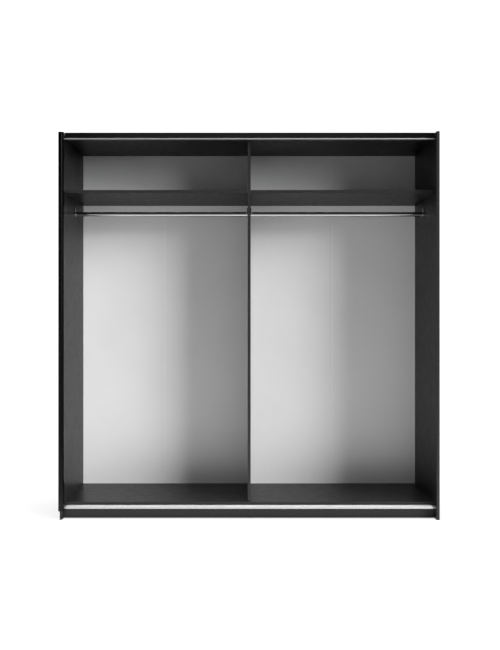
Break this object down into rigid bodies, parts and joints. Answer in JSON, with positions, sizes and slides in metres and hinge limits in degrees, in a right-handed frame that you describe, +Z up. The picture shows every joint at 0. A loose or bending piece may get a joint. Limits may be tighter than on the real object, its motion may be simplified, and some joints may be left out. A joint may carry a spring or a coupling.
{
  "type": "sliding door wardrobe",
  "caption": "Open sliding door wardrobe carcass: bays parted by a full-height partition, shelves above hanging rails, empty door tracks top and bottom.",
  "frame": {"origin": "middle of the footprint, on the floor", "axes": "+X to the right seen from the front, +Y to the back, +Z up; the open front faces -Y"},
  "size_m": [2.002, 0.62, 2.042],
  "materials": {
    "charcoal_board": "satin charcoal melamine",
    "grey_hardboard": "satin pale grey coating",
    "grey_plastic": "satin pale grey",
    "black_plastic": "matte black",
    "track_cap_plastic": "satin mid grey",
    "gloss_black": "high gloss black",
    "brush_pile": "black pile",
    "aluminium": "bright anodised",
    "chrome_tube": "polished",
    "zinc_steel": "zinc plated",
    "beech": "raw beech"
  },
  "bodies": {
    "carcass": {"left_side_panel": "charcoal_board", "right_side_panel": "charcoal_board", "top_panel": "charcoal_board", "bottom_panel": "charcoal_board", "partition": "charcoal_board", "partition_shoe": "black_plastic", "back_panel_1": "grey_hardboard", "back_panel_2": "grey_hardboard", "back_panel_3": "grey_hardboard", "back_panel_4": "grey_hardboard", "back_joint_left": "grey_plastic", "back_joint_right": "grey_plastic", "front_plinth": "charcoal_board", "rear_plinth": "charcoal_board", "plinth_brackets": "zinc_steel", "plinth_bracket_screws": "zinc_steel", "side_glides": "black_plastic", "plinth_glide": "black_plastic", "foot_sockets": "black_plastic", "foot_socket_screws": "zinc_steel", "top_track": "aluminium", "top_track_screws": "zinc_steel", "top_track_stops": "black_plastic", "top_fascia": "gloss_black", "bottom_track": "aluminium", "bottom_track_caps": "track_cap_plastic", "bottom_track_screws": "zinc_steel", "closing_profile": "gloss_black", "closing_brush": "brush_pile", "closing_profile_screws": "zinc_steel", "left_rail_brackets": "chrome_tube", "right_rail_brackets": "chrome_tube", "rail_bracket_screws": "zinc_steel", "shelf_supports": "black_plastic", "cam_discs": "zinc_steel", "cam_bolts": "zinc_steel", "dowels": "beech", "partition_screws": "zinc_steel", "back_screws": "zinc_steel"},
    "left_shelf": {"left_shelf": "charcoal_board"},
    "right_shelf": {"right_shelf": "charcoal_board"},
    "left_rail": {"left_rail": "chrome_tube"},
    "right_rail": {"right_rail": "chrome_tube"},
    "front_foot": {"front_foot": "black_plastic"},
    "rear_foot": {"rear_foot": "black_plastic"}
  },
  "joints": [
    {"name": "left_shelf_lift", "type": "slide", "parent": "carcass", "child": "left_shelf", "axis": [0, 0, 1], "range_m": [0, 0.25]},
    {"name": "right_shelf_lift", "type": "slide", "parent": "carcass", "child": "right_shelf", "axis": [0, 0, 1], "range_m": [0, 0.25]},
    {"name": "left_rail_lift", "type": "slide", "parent": "carcass", "child": "left_rail", "axis": [0, 0, 1], "range_m": [0, 0.05]},
    {"name": "right_rail_lift", "type": "slide", "parent": "carcass", "child": "right_rail", "axis": [0, 0, 1], "range_m": [0, 0.05]},
    {"name": "front_foot_screw", "type": "slide", "parent": "carcass", "child": "front_foot", "axis": [0, 0, -1], "range_m": [0, 0.012]},
    {"name": "rear_foot_screw", "type": "slide", "parent": "carcass", "child": "rear_foot", "axis": [0, 0, -1], "range_m": [0, 0.012]}
  ]
}
